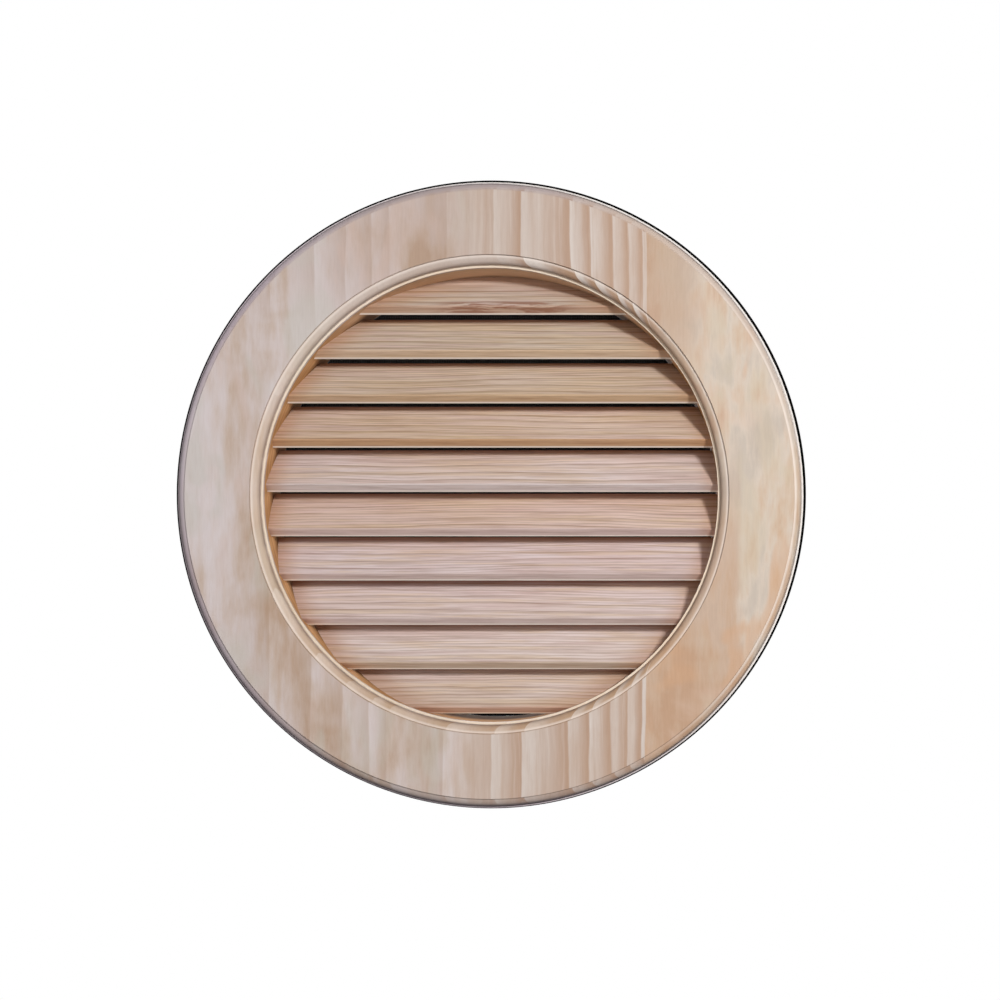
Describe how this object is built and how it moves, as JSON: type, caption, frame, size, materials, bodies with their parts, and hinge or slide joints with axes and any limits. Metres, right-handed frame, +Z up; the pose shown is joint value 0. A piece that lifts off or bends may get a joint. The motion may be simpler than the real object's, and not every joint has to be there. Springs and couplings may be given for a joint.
{
  "type": "round gable vent",
  "caption": "Round wooden gable vent: a wide moulded ring in raw pine on a round jamb, with fixed sloping louvres and an insect screen behind them.",
  "frame": {"origin": "on the axis of the round jamb, in the plane of the wall that the back of the face ring lies on", "axes": "+Z up as fitted, +Y along the jamb into the wall, so the front looks along -Y, and +X to the right seen from the front"},
  "size_m": [0.5587, 0.072, 0.5588],
  "materials": {
    "ring_pine": "raw sanded flat-sawn pine, upright grain",
    "slat_pine": "raw planed pine, grain along the slat",
    "jamb_pine": "raw bent pine, grain round the hoop",
    "screen_mesh": "charcoal coated strands",
    "bright_steel": "bright wire"
  },
  "bodies": {
    "root": {"face_ring": "ring_pine", "jamb_hoop": "jamb_pine", "louvre_slat_01": "slat_pine", "louvre_slat_02": "slat_pine", "louvre_slat_03": "slat_pine", "louvre_slat_04": "slat_pine", "louvre_slat_05": "slat_pine", "louvre_slat_06": "slat_pine", "louvre_slat_07": "slat_pine", "louvre_slat_08": "slat_pine", "louvre_slat_09": "slat_pine", "louvre_slat_10": "slat_pine", "slat_brads": "bright_steel", "insect_screen": "screen_mesh", "screen_staples": "bright_steel"}
  },
  "joints": []
}
